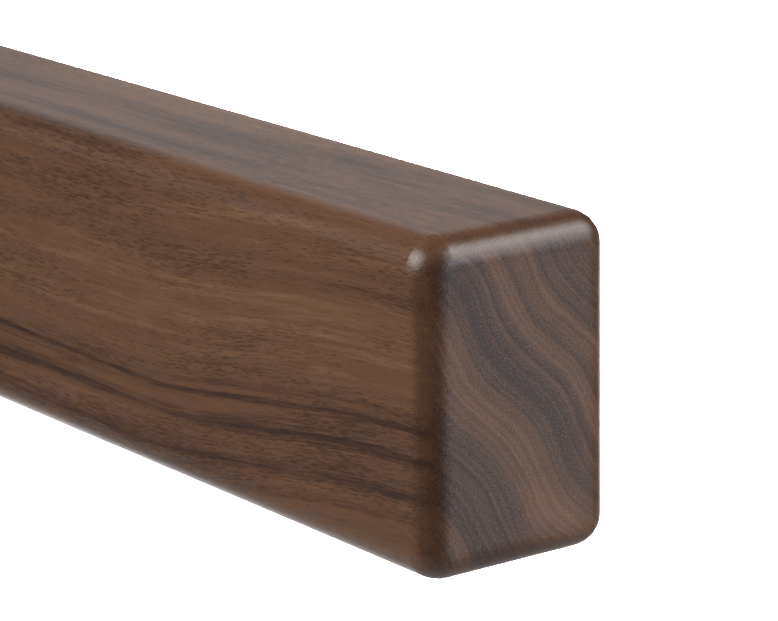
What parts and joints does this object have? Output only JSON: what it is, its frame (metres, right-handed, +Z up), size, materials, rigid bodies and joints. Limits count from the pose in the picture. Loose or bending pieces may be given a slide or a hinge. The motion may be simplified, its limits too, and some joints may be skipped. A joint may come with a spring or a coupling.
{
  "type": "grab rail",
  "caption": "Straight walnut grab rail of rounded rectangular section on turned steel stand-off posts, through-bolted to a bulkhead with backing plates and domed nuts.",
  "frame": {"origin": "on the bulkhead's near face, midway between the two studs", "axes": "+X along the rail, +Y from the rail into the bulkhead, +Z up"},
  "size_m": [0.6, 0.1116, 0.06],
  "materials": {
    "walnut": "oiled satin, long grain along the rail and end grain on its ends",
    "satin_steel": "satin turned stainless steel",
    "fastener_steel": "plain bright stainless steel",
    "insert_brass": "machined brass",
    "gasket_rubber": "matt black rubber"
  },
  "bodies": {
    "root": {"rail": "walnut", "left_threaded_insert": "insert_brass", "left_stud": "fastener_steel", "left_seat_washer": "satin_steel", "left_post": "satin_steel", "left_grub_screw": "fastener_steel", "left_foot_gasket": "gasket_rubber", "left_backing_plate": "satin_steel", "left_plain_washer": "fastener_steel", "left_lock_washer": "fastener_steel", "left_cap_nut": "fastener_steel", "right_threaded_insert": "insert_brass", "right_stud": "fastener_steel", "right_seat_washer": "satin_steel", "right_post": "satin_steel", "right_grub_screw": "fastener_steel", "right_foot_gasket": "gasket_rubber", "right_backing_plate": "satin_steel", "right_plain_washer": "fastener_steel", "right_lock_washer": "fastener_steel", "right_cap_nut": "fastener_steel"}
  },
  "joints": []
}
